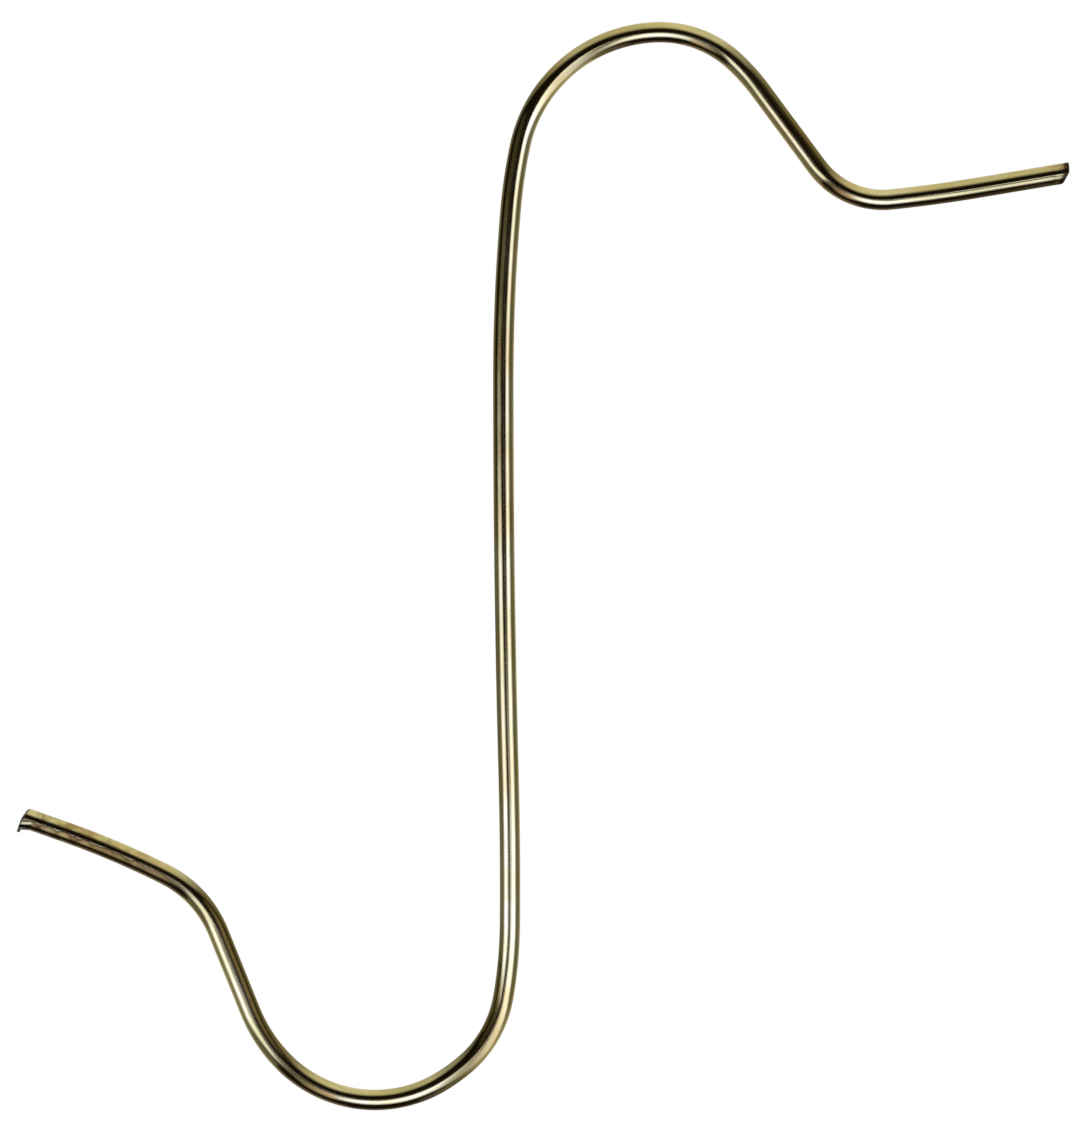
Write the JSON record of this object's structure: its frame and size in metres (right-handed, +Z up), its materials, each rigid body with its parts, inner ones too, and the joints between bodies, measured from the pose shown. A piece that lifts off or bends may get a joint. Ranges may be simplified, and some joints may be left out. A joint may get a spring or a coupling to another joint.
{
  "type": "ornament hook",
  "caption": "S-shaped wire hook with a rounded bend and an outward-turned tip at each end, for hanging an ornament from a branch.",
  "frame": {"origin": "underside of the crown of the top bend, on the wire's inner side, where the branch bears", "axes": "+X from the shank out towards the branch tip, +Z up along the shank, +Y through the plane of the wire"},
  "size_m": [0.0615, 0.0012, 0.0636],
  "materials": {
    "brass_wire": "polished"
  },
  "bodies": {
    "root": {"hook_wire": "brass_wire"}
  },
  "joints": []
}
